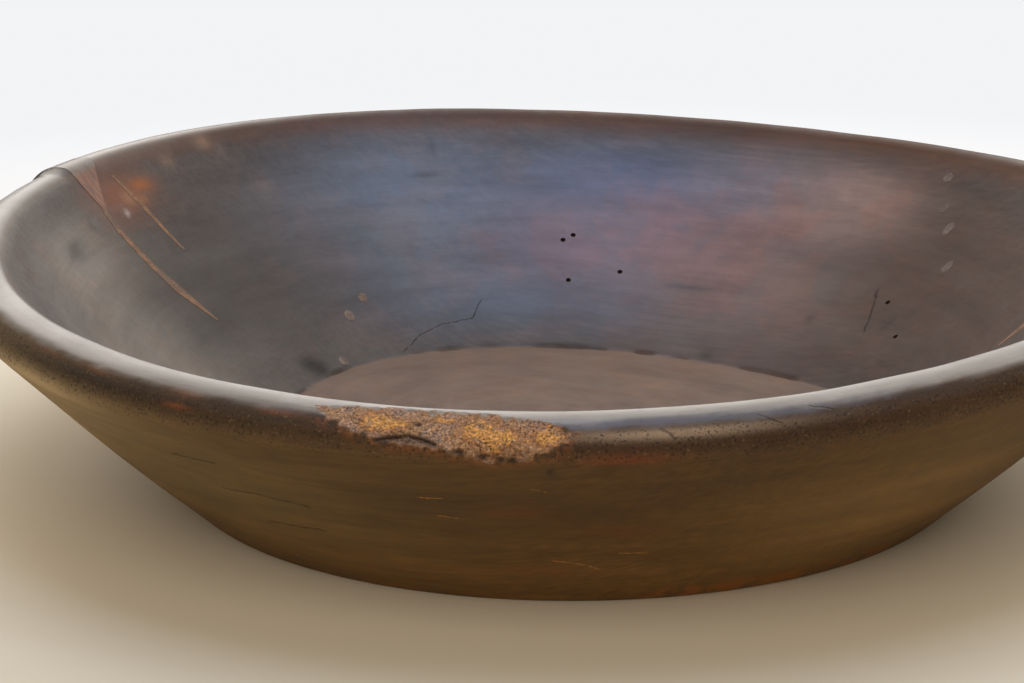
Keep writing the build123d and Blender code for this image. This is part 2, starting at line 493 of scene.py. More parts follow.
def take_off(piece, wanted):
    """Separates the faces that pass a test, and gives the new piece that they make."""
    edit_faces(piece)
    select_faces(piece, wanted)
    bpy.ops.mesh.separate(type="SELECTED")
    bpy.ops.object.mode_set(mode="OBJECT")
    return next(o for o in bpy.context.selected_objects if o != piece)


def join(name, pieces):
    """Makes one piece of several."""
    only(pieces[0])
    for piece in pieces[1:]:
        piece.select_set(True)
    bpy.ops.object.join()
    pieces[0].name = name
    return pieces[0]


def inlay(name, skin, outline, along, proud, facing=FACING):
    """Scores an outline seen in one direction, lifts the skin inside it out and sinks a seat."""
    side = along.orthogonal().normalized()
    over = along.cross(side)
    flat = [(corner.dot(side), corner.dot(over)) for corner in outline]

    def seen(centres, normals):
        looking = normals @ np.array(along) > facing
        return centres @ np.array(side), centres @ np.array(over), looking

    def inside(centres, normals):
        x, y, looking = seen(centres, normals)
        return within(x, y, flat) & looking

    def beside(centres, normals):
        x, y, looking = seen(centres, normals)
        return (from_line(x, y, line) < SCORED_REACH) & looking

    edit_faces(skin)
    ends = outline[1:] + outline[:1]
    for start, end, line in zip(outline, ends, zip(flat, flat[1:] + flat[:1])):
        select_faces(skin, beside)
        bpy.ops.mesh.bisect(plane_co=start, plane_no=(end - start).cross(along).normalized())
    select_faces(skin, inside)
    bpy.ops.mesh.duplicate()
    bpy.ops.mesh.separate(type="SELECTED")
    select_faces(skin, inside)
    bpy.ops.mesh.extrude_region_shrink_fatten(TRANSFORM_OT_shrink_fatten={"value": -SEAT_DEPTH})
    bpy.ops.object.mode_set(mode="OBJECT")
    piece = next(o for o in bpy.context.selected_objects if o != skin)
    piece.name = name
    piece.vertex_groups.clear()
    edit_faces(piece)
    bpy.ops.mesh.select_all(action="SELECT")
    bpy.ops.transform.shrink_fatten(value=proud)
    bpy.ops.object.mode_set(mode="OBJECT")
    apply(piece, "SOLIDIFY", thickness=SEAT_DEPTH - SEAT_CLEARANCE, offset=-1)
    print(name, len(piece.data.polygons), "faces")
    return piece


print("repairs will be", round((SEAT_DEPTH - SEAT_CLEARANCE) / MM, 1), "mm thick")

# %% [markdown]
# The splits and the wedge. A block splits along its grain, from the ends inwards, so a split
# is drawn as it is seen along the grain: a line down the wall with a width at each corner.
# The wedge runs over the lip too, so for it the faces that look away are scored as well.
# Only two small parts of the skin are taken off for all this, because Bisect looks at every
# face of the piece that it works on.

# %% Wedge and split fillers
RIM_END = 115 * MM  # height of the rim at the ends of the grain
LEFT_END, RIGHT_END = -220 * MM, 190 * MM  # where the outlines are drawn, along the grain
WEDGE_PROUD, LEFT_PROUD, FILLER_PROUD = 0.2 * MM, 0.15 * MM, 0.1 * MM  # above the skin
EVERY_WAY = -1  # least cosine that takes faces whichever way they look
# Across the grain and drop below the rim's end, in mm, and for a split also its width
WEDGE = [(-0.5, 20), (22, 0), (22, -12), (0, -12), (0, 0)]
LEFT_SPLIT = [(-0.3, 18, 3), (-3.3, 26, 3.5), (-3.8, 41, 4), (-2.3, 52, 6), (2, 65, 1.5)]
LEFT_SHORT_SPLIT = [(24, 8, 1.5), (25.5, 20, 3), (25, 40, 1.5)]
RIGHT_SPLIT = [(92, 14, 1.5), (92, 30, 4.5), (90.5, 48, 5), (86.5, 58, 1.5)]


def across_grain(x, y, drop):
    """Point at an end of the grain, from millimetres across it and below the rim."""
    return Vector((x, y * MM, RIM_END - drop * MM))


def split_outline(split, x):
    """Corners of a split, from rows of its line and its width."""
    down = [across_grain(x, y - width / 2, drop) for y, drop, width in split]
    return down + [across_grain(x, y + width / 2, drop) for y, drop, width in reversed(split)]


def left_part(centres, normals):
    """Faces round the repairs on the left."""
    x, y, z = centres.T
    return (x < -100 * MM) & (np.abs(y) < 100 * MM) & (z > 12 * MM)


def right_part(centres, normals):
    """Faces round the repairs on the right."""
    x, y, z = centres.T
    return (x > 60 * MM) & (y > 40 * MM) & (z > 40 * MM)


left_skin = take_off(bowl, left_part)
right_skin = take_off(bowl, right_part)
to_right, to_left = Vector((1, 0, 0)), Vector((-1, 0, 0))
left_outline = split_outline(LEFT_SPLIT, LEFT_END)
short_outline = split_outline(LEFT_SHORT_SPLIT, LEFT_END)
right_outline = split_outline(RIGHT_SPLIT, RIGHT_END)
wedge_outline = [across_grain(LEFT_END, y, drop) for y, drop in WEDGE]
left_split = inlay("left_split_putty", left_skin, left_outline, to_right, LEFT_PROUD)
left_short_split = inlay("left_short_split_putty", left_skin, short_outline, to_right, FILLER_PROUD)
right_split = inlay("right_split_putty", right_skin, right_outline, to_left, FILLER_PROUD)
wedge = inlay("rim_wedge", left_skin, wedge_outline, to_right, WEDGE_PROUD, EVERY_WAY)
print("repairs in the splits:", [o.name for o in (wedge, left_split, left_short_split, right_split)])

# %% [markdown]
# Dabs of putty. Old holes and dents were filled with the tip of a knife, which leaves short
# dabs that are pointed up and down the wall. Each is scored square to the wall where it
# sits. The dabs of one wall are one piece, as they were one job, and the two parts of the
# skin then go back to the bowl.

# %% Dabs of putty
DAB_WIDTH = 4.5 * MM
FACING_DAB = 0.5  # least cosine, so that only the wall round the dab is scored
REJOIN_REACH = 0.02 * MM
# Corners of a dab, as shares of its length and width
DAB_SHAPE = [(0.5, 0), (0.25, 0.5), (-0.25, 0.5), (-0.5, 0), (-0.25, -0.5), (0.25, -0.5)]
# Angle in degrees, height and length up the slope in mm
LEFT_WALL_HOLES = [(149, 44.5, 6), (153, 39.5, 7), (160, 25.5, 6)]
RIGHT_WALL_DENTS = [(65.5, 97, 6), (63, 86, 6), (60, 79.5, 9), (55, 67.5, 9)]


def dab(skin, angle, level, length):
    """A six-sided dab in the inner wall, pointed up and down its slope."""
    turn = radians(angle)
    spot = on_wall(angle, level, -1)
    upward = Vector((cos(INNER_CHORD) * cos(turn), cos(INNER_CHORD) * sin(turn), sin(INNER_CHORD)))
    sideways = Vector((-sin(turn), cos(turn), 0))
    corners = [spot + a * length * MM * upward + b * DAB_WIDTH * sideways for a, b in DAB_SHAPE]
    return inlay("dab", skin, corners, upward.cross(sideways), FILLER_PROUD, FACING_DAB)


hole_plugs = join("left_wall_hole_putty", [dab(left_skin, *row) for row in LEFT_WALL_HOLES])
dent_fillers = join("right_wall_dent_putty", [dab(right_skin, *row) for row in RIGHT_WALL_DENTS])
bowl = join("bowl_body", [bowl, left_skin, right_skin])
bpy.ops.object.mode_set(mode="EDIT")
bpy.ops.mesh.select_all(action="SELECT")
bpy.ops.mesh.remove_doubles(threshold=REJOIN_REACH)
bpy.ops.object.mode_set(mode="OBJECT")
print("mended bowl:", len(bowl.data.polygons), "faces")

# %% [markdown]
# The worn lip. At the front, years of damp and knocks have eaten the lip down to bare,
# crumbling wood, about a hand wide. Its outline is given on the unrolled skin. The faces
# there are subdivided, because a crumbling surface needs points under a millimetre apart,
# and then sunk unevenly. Along the lower edge sound wood breaks off at a fissure, and a
# few crumbs have fallen out and left pits.

# %% Bare patch on the lip
LIP_REACH = 262  # mm, radius at which angles on the lip are laid flat
PATCH_MIDDLE = -76  # degrees
SURROUND = 5  # mm of sound wood round the patch that are subdivided with it
FISSURE_HALF_WIDTH = 1.1  # mm
PIT_HALF_HEIGHT = 1.4  # mm
FINER_CUTS = 4  # of each edge
# Outline by angle in degrees and fall in mm, along the top and back along the bottom
PATCH_TOP = [(-88.6, 6), (-86.3, 3.5), (-84.3, 2), (-81.4, 1), (-77.9, 0.8), (-75, 1.2), (-72.7, 2)]
PATCH_RIGHT = [(-70.1, 4.5), (-68.5, 6), (-66.5, 9), (-65.6, 14), (-66.5, 18.4), (-67.6, 21.7)]
PATCH_BOTTOM = [(-70.3, 26.5), (-72.4, 27.5), (-74, 24.3), (-75.6, 23.5), (-76.8, 20.8), (-79.5, 20.4)]
PATCH_LEFT = [(-81.8, 19.8), (-83.4, 17.8), (-85.5, 14.5), (-87.3, 11.5)]
FISSURE = [(-82.2, 19.2), (-80.9, 17.4), (-79.7, 15.8), (-78.4, 17.4), (-77.2, 19.5)]
CRUMB_PITS = [(-75.2, 22.2, 3), (-73.1, 24.6, 2), (-71.6, 25.8, 2.2), (-70.6, 25.6, 2), (-79, 9.5, 1.8)]


def lay_out(corners):
    """Corners by angle and fall as millimetres across and down the bare patch."""
    return [(radians(angle - PATCH_MIDDLE) * LIP_REACH, down) for angle, down in corners]


def on_patch(points):
    """Millimetres across and down the bare patch, for rows of x, y, z."""
    turn, fall = unroll(points)
    return (turn - radians(PATCH_MIDDLE)) * LIP_REACH, fall / MM


def bare_depth(across, down):
    """How deep places lie inside the bare patch, below zero outside it."""
    outline = lay_out(PATCH_TOP + PATCH_RIGHT + PATCH_BOTTOM + PATCH_LEFT)
    depth = from_line(across, down, outline + outline[:1])
    return np.where(within(across, down, outline), depth, -depth)


def hollows(across, down):
    """Share of the fissure and the pits at places of the bare patch."""
    deep = bell(from_line(across, down, lay_out(FISSURE)), 0, FISSURE_HALF_WIDTH)
    for angle, way, half_width in CRUMB_PITS:
        middle = radians(angle - PATCH_MIDDLE) * LIP_REACH
        pit = bell(across, middle, half_width) * bell(down, way, PIT_HALF_HEIGHT)
        deep = np.maximum(deep, pit)
    return deep


def select_points(piece, wanted):
    """Goes into edit mode with just those points of a piece selected."""
    only(piece)
    bpy.ops.object.mode_set(mode="EDIT")
    bpy.ops.mesh.select_all(action="DESELECT")
    bpy.ops.mesh.select_mode(type="VERT")
    bpy.ops.object.mode_set(mode="OBJECT")
    piece.data.vertices.foreach_set("select", wanted)
    bpy.ops.object.mode_set(mode="EDIT")


select_points(bowl, bare_depth(*on_patch(read_points(bowl))) > -SURROUND)
bpy.ops.mesh.select_mode(type="FACE")
bpy.ops.mesh.subdivide(number_cuts=FINER_CUTS)
bpy.ops.mesh.select_all(action="DESELECT")
bpy.ops.mesh.select_face_by_sides(number=4, type="GREATER")
bpy.ops.mesh.quads_convert_to_tris(ngon_method="BEAUTY")
bpy.ops.object.mode_set(mode="OBJECT")
print("points in the bare patch:", int((bare_depth(*on_patch(read_points(bowl))) > 0).sum()))

# %% [markdown]
# Crumbling. Bare old wood breaks down into grains and lumps. Noise of three sizes moves its
# points in and out, inside a ragged edge. A Displace modifier could do that with a vertex
# group, but here depth, edge and hollows all follow from one outline, so the points are
# moved along their normals by hand.

# %% Crumble it
SUNK = 0.9 * MM  # how far the bare wood lies below the skin
HOLLOW_DEPTH = 1.3 * MM  # of the fissure and the pits
LUMP_HEIGHT = 0.5 * MM
LUMPS = {6 * MM: 0.8, 2.6 * MM: 0.5, 1.3 * MM: 0.35}  # sizes and their shares
RAGGED_SIZE = 5 * MM  # waves of the edge
RAGGED_REACH = 1.8  # mm that the edge strays
MOVED_REACH = 3  # mm round the outline that may move with it

points = read_points(bowl)
normals = np.empty(len(points) * 3)
bowl.data.vertices.foreach_get("normal", normals)
normals = normals.reshape(-1, 3)
across, down = on_patch(points)
near = np.flatnonzero(bare_depth(across, down) > -MOVED_REACH)
spots = points[near]
edge = bare_depth(across[near], down[near]) + RAGGED_REACH * ripple(spots, RAGGED_SIZE)
lumps = sum(share * ripple(spots, size) for size, share in LUMPS.items())
sunk = SUNK * ease(edge, -0.4, 3) + HOLLOW_DEPTH * hollows(across[near], down[near])
points[near] += normals[near] * (LUMP_HEIGHT * ease(edge, -0.5, 2) * lumps - sunk)[:, None]
write_points(bowl, points)
print("deepest point of the patch:", round(float(sunk.max()) / MM, 2), "mm")

# %% [markdown]
# Beetle holes. Furniture beetles leave round holes about two millimetres wide. A vertex of
# the skin is bevelled to a small ring and sunk, which keeps the skin closed. A second
# material slot gives the holes their dust-dark inside.

# %% Bore the holes
# Angle in degrees and height in mm
BEETLE_HOLES = [(115.6, 57.4), (114.3, 59.6), (115, 43.7), (106.2, 46.5), (59.4, 51), (51.8, 40.7)]
HOLE_RADIUS = 1.25 * MM
HOLE_DEPTH = 2 * MM
ROUND_PROFILE = 0.086  # bends the sides of a bevelled vertex to a circle about it

points = read_points(bowl)
bored = np.zeros(len(points), dtype=bool)
for angle, level in BEETLE_HOLES:
    bored[np.linalg.norm(points - on_wall(angle, level, -1), axis=1).argmin()] = True
select_points(bowl, bored)
bpy.ops.mesh.bevel(offset=HOLE_RADIUS, affect="VERTICES", segments=4, profile=ROUND_PROFILE)
bpy.ops.mesh.select_mode(type="FACE")
bpy.ops.mesh.extrude_region_shrink_fatten(TRANSFORM_OT_shrink_fatten={"value": -HOLE_DEPTH})
bpy.ops.mesh.select_more()
bowl.data.materials.append(None)
bowl.data.materials.append(None)
bowl.active_material_index = 1
bpy.ops.object.material_slot_assign()
bpy.ops.object.mode_set(mode="OBJECT")
print("holes:", int(bored.sum()), "faces:", sum(face.material_index for face in bowl.data.polygons))

# %% [markdown]
# Shading. Rubbed wood has no hard edges, but the seats of the repairs, the beetle holes and
# the crumbling patch do. Shading smooth below an angle keeps those crisp, and leaves the
# rest soft without more faces.

# %% Smooth shading
CRISP_ANGLE = radians(38)  # edges sharper than this stay crisp

repairs = [wedge, left_split, left_short_split, right_split, hole_plugs, dent_fillers]
triangles = {}
for piece in [bowl, *repairs]:
    only(piece)
    bpy.ops.object.shade_smooth_by_angle(angle=CRISP_ANGLE)
    triangles[piece.name] = sum(len(face.vertices) - 2 for face in piece.data.polygons)
print("triangles:", triangles)

# %% [markdown]
# Laying the skin flat. Cracks in the finish are drawn on the unrolled skin, so it is stored
# as a UV map in millimetres: across is the angle round the bowl at a radius of 200 mm, up
# is the fall from the crest. The cut in the peel lies at the right end of the grain, and
# the faces that cross it are carried on past a full turn.

# %% Store the unrolled skin
PEEL_RADIUS = 200  # mm
PEEL_CUT = radians(10)


def peel_across(turn):
    """Angle in radians as millimetres across the peel."""
    return (np.mod(turn - PEEL_CUT, 2 * pi) + PEEL_CUT) * PEEL_RADIUS


def lay_flat(piece):
    """Writes the unrolled skin to the piece's UV map."""
    mesh = piece.data
    turn, fall = unroll(read_points(piece))
    owner = np.empty(len(mesh.loops), dtype=np.int32)
    mesh.loops.foreach_get("vertex_index", owner)
    corners = np.empty(len(mesh.polygons), dtype=np.int32)
    mesh.polygons.foreach_get("loop_total", corners)
    face = np.repeat(np.arange(len(corners)), corners)
    across = peel_across(turn)[owner]
    furthest = np.full(len(corners), -np.inf)
    np.maximum.at(furthest, face, across)
    across += (furthest[face] - across > pi * PEEL_RADIUS) * 2 * pi * PEEL_RADIUS
    while mesh.uv_layers:
        mesh.uv_layers.remove(mesh.uv_layers[0])
    layer = mesh.uv_layers.new(name="peel")
    layer.data.foreach_set("uv", np.stack([across, fall[owner] / MM], axis=1).astype(np.float32).ravel())


for piece in [bowl, *repairs]:
    lay_flat(piece)
print("peel in mm across:", [round(cut * PEEL_RADIUS) for cut in (PEEL_CUT, PEEL_CUT + 2 * pi)])

# %% [markdown]
# Patina. Grease, smoke and handling have stained the old bowl unevenly: mauve on the
# polished wall where dough was worked, brown and olive towards the ends of the grain,
# red-brown under the rim. The slate-blue on the polished wall is not a stain but a painted
# reflection of the cool sky overhead. Such stains have soft edges a hand wide, so they are
# painted on the points of the skin as a colour with its strength, one soft dab after another.
# A noise texture could not put them where they belong.

# %% Paint for the skin
NEAR_CREST = 20  # mm, spots nearer than this to the crest reach over it
CREST_FADE = 4 * MM  # all others fade out over this on each side of the crest


def linear(code):
    """Linear red, green and blue of an sRGB hex colour."""
    shares = [int(code[i : i + 2], 16) / 255 for i in (1, 3, 5)]
    return [s / 12.92 if s <= 0.04045 else ((s + 0.055) / 1.055) ** 2.4 for s in shares]


points = read_points(bowl)
turn, fall = unroll(points)
radius = np.hypot(points[:, 0], points[:, 1])
colour = np.zeros((len(points), 3))
strength = np.zeros(len(points))


def paint_stain_and_light(cover, code):
    """Lays one colour over the colours so far: stains, and painted light and shade too."""
    whole = strength + cover - strength * cover
    share = np.divide(cover, whole, out=np.zeros_like(cover), where=whole > 0)
    colour[:] += share[:, None] * (np.array(linear(code)) - colour)
    strength[:] = whole


def soft_spot(angle, way, half_width, half_height):
    """Cover of a soft spot at an angle in degrees and a fall in mm, by its halves in mm."""
    across = np.angle(np.exp(1j * (turn - radians(angle)))) * radius / (half_width * MM)
    along = (fall / MM - way) / half_height
    same_side = 1
    if abs(way) > NEAR_CREST:
        same_side = ease(fall * np.sign(way), -CREST_FADE, CREST_FADE)
    return np.exp(-(across**2) - along**2) * same_side


def paint_spots(rows):
    """Lays soft spots of colour one over another."""
    for angle, way, half_width, half_height, code, most in rows:
        paint_stain_and_light(most * soft_spot(angle, way, half_width, half_height), code)
    print("soft spots:", len(rows))


print("points to paint:", len(points))

# %% [markdown]
# Large stains, and light painted among them. Each row is one soft spot: its angle in
# degrees, fall, half width and half height in mm, colour and strength. Later rows lie over
# earlier ones, as glazes do. The inside has the mauve and brown of grease and smoke, and its
# slate-blue rows on the far wall are a painted reflection of the cool sky. The outside has
# the olive that handling leaves. It is paler yellow-brown towards both ends of the grain,
# partly from handling and partly as a painted reflection of the pale floor, and darker at the
# middle of the front, which is painted shade. A pale band below the lip on the right is
# partly worn wood and partly a painted highlight.

# %% Stains and painted light
INSIDE_STAINS_AND_SHEEN = [
    (-150, -95, 110, 50, "#7A6F62", 0.9),
    (-168, -42, 48, 24, "#8C8174", 0.7),
    (178, -85, 60, 50, "#413A33", 0.85),
    (160, -80, 60, 50, "#443C36", 0.85),
    (146, -75, 45, 50, "#4E4642", 0.7),
    # slate-blue and grey-blue on the far wall: a painted reflection of the cool sky overhead
    (136, -48, 62, 38, "#5A6273", 0.85),
    (137, -100, 45, 30, "#5C5D66", 0.8),
    (120, -120, 60, 16, "#454D5C", 0.7),
    (107, -45, 55, 24, "#4A5A78", 0.8),
    (88, -45, 40, 22, "#6C6976", 0.7),
    # mauve and brown: stains of grease and smoke
    (117, -82, 42, 30, "#574350", 0.8),
    (100, -78, 45, 32, "#66494D", 0.8),
    (84, -85, 50, 50, "#6E5149", 0.85),
    (62, -80, 60, 60, "#4A362C", 0.9),
    (76, -42, 38, 22, "#8E7166", 0.75),
    (38, -80, 75, 70, "#4F3C30", 0.9),
    (176, -26, 24, 15, "#70422A", 0.75),
]
OUTSIDE_STAINS_AND_LIGHT = [
    (-110, 85, 110, 55, "#705A36", 0.75),
    # paler yellow-brown towards the left end: partly wear from handling, partly a painted reflection of
    # the pale floor
    (-138, 60, 75, 40, "#A08558", 0.85),
    (-128, 41, 68, 14, "#A0855A", 0.85),
    (-122, 30, 40, 7, "#B3986C", 0.75),
    # a dark line below the lip at the front left
    (-112, 17, 75, 5, "#1C1108", 0.7),
    # paler yellow-brown low towards the right end: partly wear from handling, partly a painted reflection
    # of the pale floor
    (-28, 100, 75, 50, "#826438", 0.75),
    # darker at the middle of the front of the outside: painted shade
    (-72, 75, 60, 30, "#452F15", 0.6),
    # red-brown stains
    (-61, 26, 16, 3, "#6E3312", 0.6),
    (-70.5, 72, 14, 6, "#633A1A", 0.5),
    (-60, 92, 18, 7, "#633A1A", 0.5),
    (-70.5, 130, 16, 4, "#6E4420", 0.5),
    # a pale band below the lip on the right: partly worn wood, partly a painted highlight
    (-57, 15, 45, 2.5, "#8C745B", 0.9),
]
paint_spots(INSIDE_STAINS_AND_SHEEN + OUTSIDE_STAINS_AND_LIGHT)

# %% [markdown]
# Washes. Three colours run all along a part of the skin: the paler floor, the red-brown
# shadow on the far rim, and the greyed strip where hands rub the lip, which is also painted
# paler as part of the highlight along the near lip. The strip ends in an uneven line, and it
# fades out on the far side, where no highlight is painted and the rim is left duller.

# %% Floor, far rim and lip
DULL_MIDDLE, DULL_HALF_WIDTH = radians(100), radians(56)  # the far side
FAR_FROM = radians(30)
STRIP_END = 10.5  # mm of fall
NARROW_AT, NARROW_HALF_WIDTH = radians(-56), radians(14)  # where the strip is narrower
NARROWED = 3.5  # mm
UNEVEN_ZONE = (-12 * MM, 26 * MM)  # fall
UNEVEN = {11 * MM: 1, 4 * MM: 0.7}  # sizes and their shares

from_dull = np.angle(np.exp(1j * (turn - DULL_MIDDLE)))
dull_far_side = np.exp(-((from_dull / DULL_HALF_WIDTH) ** 6))
far_side = turn > FAR_FROM
on_floor = 1 - ease(fall, CORNER_FALL - 2 * MM, CORNER_FALL + 1 * MM)
by_lip = (fall > UNEVEN_ZONE[0]) & (fall < UNEVEN_ZONE[1])
uneven = np.zeros(len(points))
uneven[by_lip] = sum(share * ripple(points[by_lip], size) for size, share in UNEVEN.items())
strip_end = STRIP_END - NARROWED * bell(turn, NARROW_AT, NARROW_HALF_WIDTH) + 1.2 * uneven
strip = ease(fall / MM, -5, -1) * (1 - ease(fall / MM - strip_end, -1.5, 1)) * (1 - dull_far_side)
paint_stain_and_light(0.9 * on_floor * (fall < 0), "#6B5546")
paint_stain_and_light(0.5 * bell(fall / MM, -9, 6) * far_side, "#54341F")
paint_stain_and_light(0.6 * bell(fall / MM, 2, 9) * far_side, "#4A2A18")
# the greyed strip on the lip: greyed by hands, and painted paler as part of the highlight along the near
# lip
paint_stain_and_light(0.85 * strip, "#766D63")
print("points in the strip on the lip:", int((strip > 0.5).sum()))

# %% [markdown]
# Small marks. Burns, dark marks near the inside corner, rubs and rust have their own colours,
# too small for a stain and too soft for a line. They are soft spots as well, a few millimetres
# wide, and lie over everything so far.

# %% Small marks
MARKS = [
    (168.3, -136, 6, 4, "#17100C", 0.95),
    (166.6, -141, 6, 4, "#17100C", 0.95),
    (133.1, -41, 7, 2.2, "#2A2B33", 0.75),
    (131.5, -25, 2, 6, "#34363F", 0.6),
    (95, -107, 13, 2, "#2E2425", 0.75),
    (70.1, -114, 3, 2.5, "#2A1F18", 0.75),
    (55.6, -105.5, 2, 4, "#332A25", 0.6),
    (85.4, -142, 4, 2.5, "#2A1F18", 0.7),
    (-176.4, -33, 5.5, 5, "#38312D", 0.75),
    (-176.6, -33, 2.2, 2, "#857C73", 0.6),
    (-168.5, -34.5, 9, 2.5, "#3B352F", 0.7),
    (-167.5, -39, 10, 2.5, "#3B352F", 0.7),
    (154.6, -40, 5, 4, "#6E6058", 0.5),
    (159.3, -10, 4.5, 4.5, "#8A6C55", 0.7),
    (165.4, -15.5, 4, 3.5, "#7E634F", 0.6),
    (157.6, -16, 2.5, 4, "#75665E", 0.5),
    (177, -34.4, 2, 2, "#A39B92", 0.75),
    (171.4, -24, 8, 3.6, "#8A4F24", 0.9),
    (173, -31.5, 4, 2.2, "#8F5F38", 0.7),
    (175, -28.5, 3, 4, "#8F6A48", 0.6),
    (-101.6, 18, 6, 1.3, "#7E431A", 0.55),
    (-101.5, 11.5, 8, 1, "#7E431A", 0.7),
    (-91.6, 12, 9, 1, "#7E431A", 0.6),
    (-112, 12, 12, 1, "#74411D", 0.4),
    (-120, 12.5, 10, 1, "#74411D", 0.35),
    (-67.5, 34, 1.8, 3, "#1E140B", 0.8),
    (-92.5, 37, 2.5, 1.5, "#20160D", 0.7),
]
paint_spots(MARKS)

# %% [markdown]
# The colours of the bare patch. Where the dark skin is gone, old wood shows in grains of
# taupe and mauve-grey, with golden places where it has crumbled most lately, dark specks of
# dirt between the grains and an orange fringe where the finish has soaked in. The points
# here are fine enough to carry all that, so it is painted too.

# %% Paint the bare patch
# Angle, fall, half width and half height of the golden places
GOLDEN = [
    (-82.9, 9.6, 5.5, 5),
    (-81, 11, 6, 3.5),
    (-76.9, 6.5, 4.5, 1.8),
    (-73.8, 11, 7, 7),
    (-71.5, 14.7, 6.5, 5),
    (-72.4, 21, 2.8, 2.8),
    (-67.6, 14, 6.5, 5.5),
]
GRAIN_SIZES = (7, 2.6, 1.2)  # mm
PAINTED_REACH = 9  # mm round the patch
FRINGE_FROM = 12  # mm of fall, above this there is no orange fringe
PATCH_HALF_TURN = 0.4  # radians

across, down = on_patch(points)
near = np.flatnonzero(bare_depth(across, down) > -PAINTED_REACH)
coarse, middling, fine = (ripple(points[near], size * MM) for size in GRAIN_SIZES)
depth = bare_depth(across[near], down[near])
golden = sum(soft_spot(*spot) for spot in GOLDEN)[near]


def spread(share):
    """Values of the points near the patch, with 0 for all others."""
    whole = np.zeros(len(points))
    whole[near] = share
    return whole


fringe = bell(depth, -1.5, 2.6) * (down[near] > FRINGE_FROM) * ease(coarse + middling, -0.5, 0.4)
raw = spread(ease(depth + 1.6 * coarse + 1.8 * middling + 0.8 * fine, -0.6, 1.6))
grains = [
    (1.0, 1.0, "#8C6B4E"),  # old wood
    (0.45, ease(coarse + 0.6 * middling, 0, 0.5), "#7A6C6C"),  # greyed
    (0.8, ease(golden + 0.9 * middling + 0.35 * fine + 0.3 * coarse, 0.5, 0.85), "#B9833F"),  # fresh
    (0.45, bell(golden, 0.4, 0.22), "#7E4C24"),  # rust round the fresh places
    (0.5, ease(fine + 0.4 * middling, 0.12, 0.5), "#4A3324"),  # dirt
    (0.35, ease(-fine - 0.3 * coarse, 0.25, 0.6), "#B59A7C"),  # pale fibres
    (0.8, soft_spot(-79.8, 18.8, 11, 2.2)[near], "#40312A"),  # shadow below the fissure
    (0.6, soft_spot(-71.5, 23.5, 17, 4)[near], "#57361A"),  # finish soaked into the lower edge
]
paint_stain_and_light(0.5 * spread(fringe), "#6E3F18")
for most, share, code in grains:
    paint_stain_and_light(most * raw * spread(share), code)
by_patch = np.abs(turn - radians(PATCH_MIDDLE)) < PATCH_HALF_TURN
# The fissure and the pits are painted nearly black: painted shade in these hollows.
paint_stain_and_light(0.9 * hollows(across, down) * by_patch, "#1C120A")
print("points of bare wood:", int((raw > 0.5).sum()))

# %% [markdown]
# Polish, and handing the paint over. Hands and dough have rubbed the crest of the lip and
# the wall where dough was worked to a shine, with a crisp but uneven edge on the outside of
# the lip. Stains with the painted light and shade, bare wood and polish are stored on the
# points as attributes, which the material reads.

# %% Polish
POLISHED = [(122, -75, 90, 60), (88, -75, 60, 60)]  # angle, fall and halves, as for the stains
RUBBED_TO = 11.5  # mm of fall

polish = np.clip(0.5 * (1 - on_floor) * sum(soft_spot(*spot) for spot in POLISHED), 0, 0.5)
rubbed = 1 - ease(fall / MM - RUBBED_TO - 1.5 * uneven, -3, 2)
crest = np.where(fall > 3 * MM, rubbed, bell(fall / MM, 3, 9))
polish += (1 - 0.92 * dull_far_side - polish) * crest
for name, kind, field, values in (
    ("stains_and_light", "FLOAT_COLOR", "color", np.column_stack([colour, strength])),
    ("raw", "FLOAT", "value", raw),
    ("polish", "FLOAT", "value", polish),
):
    layer = bowl.data.attributes.new(name, kind, "POINT")
    layer.data.foreach_set(field, values.astype(np.float32).ravel())
print("stored on the points:", [layer.name for layer in bowl.data.attributes])

# %% [markdown]
# Adding nodes. A material is a chain of small steps, and one helper adds any of them to the
# tree in hand: the kind of node, what goes into its sockets, a value or a link, and its
# settings. It gives back the output that the next step needs. Sockets are fed by a helper of
# its own, because a Principled shader is there already and only has to be fed. Where sockets
# share a name they go by number: in a Mix node 0 is the share, 2 and 3 are its values and 6
# and 7 its colours, and in a Map Range node 1 to 4 are the ends of the two ranges.

# %% Add and feed nodes
SMOOTH = {"interpolation_type": "SMOOTHSTEP"}
COLOUR = {"data_type": "RGBA"}
TIMES = {"operation": "MULTIPLY"}


def feed(node, inputs):
    """Puts values or links into the sockets of a node."""
    for socket, value in inputs.items():
        if isinstance(value, bpy.types.NodeSocket):
            tree.links.new(value, node.inputs[socket])
        else:
            node.inputs[socket].default_value = value


def add(kind, inputs, out=0, **settings):
    """Adds a node to the tree in hand and gives one of its outputs."""
    node = tree.nodes.new("ShaderNode" + kind)
    for setting, value in settings.items():
        setattr(node, setting, value)
    feed(node, inputs)
    return node.outputs[out]


def shade(code):
    """A hex colour for a colour socket."""
    return (*linear(code), 1)


def new_material(name):
    """A new material, its node tree, and the Principled shader in it."""
    material = bpy.data.materials.new(name)
    material.use_nodes = True
    return material, material.node_tree, material.node_tree.nodes["Principled BSDF"]


print("a warm brown in linear light:", [round(share, 3) for share in shade("#60421D")])

# %% [markdown]
# Lines in the finish. A crack or a scratch is a line on the peel, and needs a few steps: how
# far is this place from the line, compared with the line's width. A node group holds them,
# made once and used for every stretch of every line.

